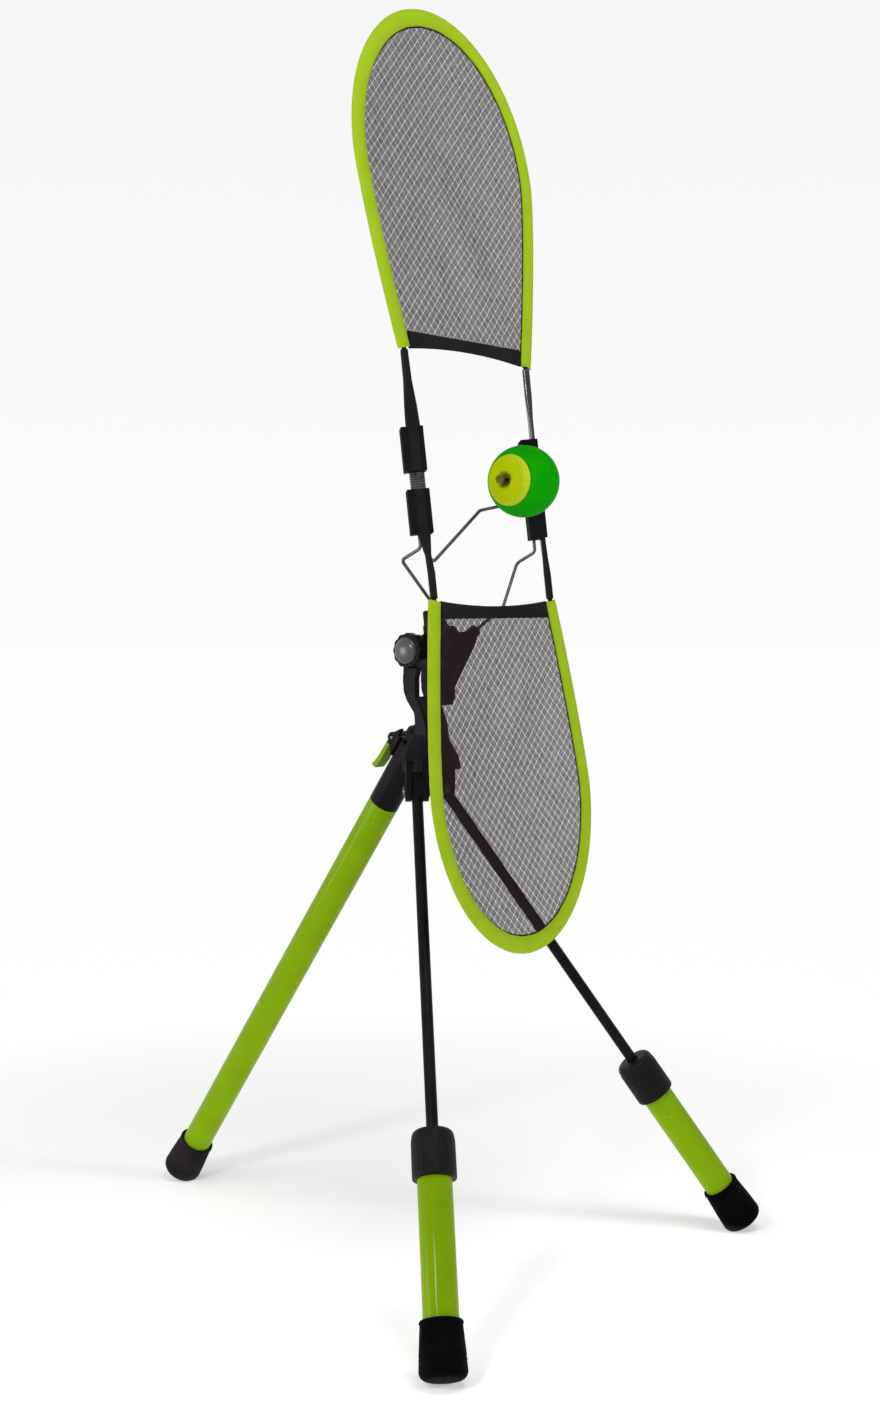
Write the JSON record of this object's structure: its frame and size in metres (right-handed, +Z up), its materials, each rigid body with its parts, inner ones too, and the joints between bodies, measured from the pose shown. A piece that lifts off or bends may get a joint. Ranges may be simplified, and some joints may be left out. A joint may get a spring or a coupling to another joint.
{
  "type": "tennis topspin trainer",
  "caption": "Folding tripod with a tilting head that holds two net screens and a spinning foam ball between them, for practising a brushing stroke.",
  "frame": {"origin": "on the floor, under the middle of the object's bounding box", "axes": "+Z up, -Y towards the player, +X to the player's right"},
  "size_m": [0.5168, 0.5943, 1.1838],
  "materials": {
    "lime_tube": "glossy lime paint",
    "lime_fabric": "lime woven sleeve",
    "black_plastic": "black moulded plastic",
    "black_metal": "black painted steel",
    "black_rubber": "black rubber",
    "grey_plastic": "grey moulded plastic",
    "steel": "bare steel wire",
    "dark_mesh": "open black net",
    "black_fabric": "black woven tape",
    "green_foam": "green foam rubber",
    "yellow_foam": "yellow foam rubber"
  },
  "bodies": {
    "base": {"crown": "black_plastic", "rear_post": "black_metal", "rear_post_guide": "grey_plastic", "left_leg_pin": "steel", "right_leg_pin": "steel", "tilt_bolt": "steel"},
    "knob": {"tilt_knob": "black_plastic", "tilt_knob_cap": "grey_plastic"},
    "head": {"tilt_yoke": "black_plastic", "left_arm": "steel", "left_lower_clip": "black_plastic", "left_upper_clip": "black_plastic", "left_clip_link": "grey_plastic", "left_lower_tang": "black_plastic", "left_upper_tang": "black_plastic", "right_arm": "steel", "right_lower_clip": "black_plastic", "right_upper_clip": "black_plastic", "right_clip_link": "grey_plastic", "right_lower_tang": "black_plastic", "right_upper_tang": "black_plastic", "upper_hoop": "black_metal", "upper_binding": "lime_fabric", "upper_mesh": "dark_mesh", "upper_hem": "black_fabric", "lower_hoop": "black_metal", "lower_binding": "lime_fabric", "lower_mesh": "dark_mesh", "lower_hem": "black_fabric"},
    "spring_wire": {"ball_wire": "steel", "ball_wire_collar": "steel", "ball_wire_cap": "black_plastic"},
    "ball": {"ball_core": "green_foam", "ball_near_cap": "yellow_foam", "ball_far_cap": "yellow_foam", "ball_bush": "grey_plastic"},
    "left_leg": {"left_knuckle": "black_plastic", "left_rod": "black_metal", "left_rod_plug": "grey_plastic"},
    "left_lower_leg": {"left_tube": "lime_tube", "left_foot": "black_rubber"},
    "left_lock_cap": {"left_lock": "black_plastic"},
    "right_leg": {"right_knuckle": "black_plastic", "right_rod": "black_metal", "right_rod_plug": "grey_plastic"},
    "right_lower_leg": {"right_tube": "lime_tube", "right_foot": "black_rubber"},
    "right_lock_cap": {"right_lock": "black_plastic"},
    "rear_leg": {"rear_clamp_collar": "black_plastic", "rear_clamp_shoe": "grey_plastic", "rear_clamp_pin": "steel", "rear_tube": "lime_tube", "rear_foot": "black_rubber"},
    "lever": {"rear_clamp_lever": "lime_tube"}
  },
  "joints": [
    {"name": "head_tilt", "type": "hinge", "parent": "base", "child": "head", "pos_m": [0, -0.0629, 0.58436], "axis": [1, 0, 0], "range_deg": [-20, 8]},
    {"name": "knob_turn", "type": "hinge", "parent": "base", "child": "knob", "pos_m": [0, -0.0629, 0.58436], "axis": [-1, 0, 0], "range_deg": [0, 90]},
    {"name": "ball_wire_flex", "type": "hinge", "parent": "head", "child": "spring_wire", "pos_m": [-0.08237, -0.1337, 0.69163], "axis": [0, 0.1319, 0.9913], "range_deg": [-10, 10], "stiffness_Nm_per_rad": 8},
    {"name": "ball_spin", "type": "hinge", "parent": "spring_wire", "child": "ball", "pos_m": [0, -0.18025, 0.74111], "axis": [1, 0, 0], "continuous": true},
    {"name": "left_leg_fold", "type": "hinge", "parent": "base", "child": "left_leg", "pos_m": [-0.02023, -0.07, 0.45007], "axis": [0.6884, -0.7254, 0], "range_deg": [0, 32.5]},
    {"name": "left_leg_slide", "type": "slide", "parent": "left_leg", "child": "left_lower_leg", "axis": [-0.4129, -0.3919, -0.8221], "range_m": [-0.1, 0.03]},
    {"name": "left_lock_turn", "type": "hinge", "parent": "left_lower_leg", "child": "left_lock_cap", "pos_m": [-0.02023, -0.07, 0.45007], "axis": [-0.4129, -0.3919, -0.8221], "range_deg": [0, 90]},
    {"name": "right_leg_fold", "type": "hinge", "parent": "base", "child": "right_leg", "pos_m": [0.02023, -0.07, 0.45007], "axis": [0.6884, 0.7254, 0], "range_deg": [0, 32.5]},
    {"name": "right_leg_slide", "type": "slide", "parent": "right_leg", "child": "right_lower_leg", "axis": [0.4129, -0.3919, -0.8221], "range_m": [-0.1, 0.03]},
    {"name": "right_lock_turn", "type": "hinge", "parent": "right_lower_leg", "child": "right_lock_cap", "pos_m": [0.02023, -0.07, 0.45007], "axis": [0.4129, -0.3919, -0.8221], "range_deg": [0, 90]},
    {"name": "rear_leg_slide", "type": "slide", "parent": "base", "child": "rear_leg", "axis": [0, 0.5693, -0.8221], "range_m": [0, 0.18]},
    {"name": "rear_clamp_open", "type": "hinge", "parent": "rear_leg", "child": "lever", "pos_m": [0, -0.03085, 0.49931], "axis": [1, 0, 0], "range_deg": [0, 95]}
  ]
}
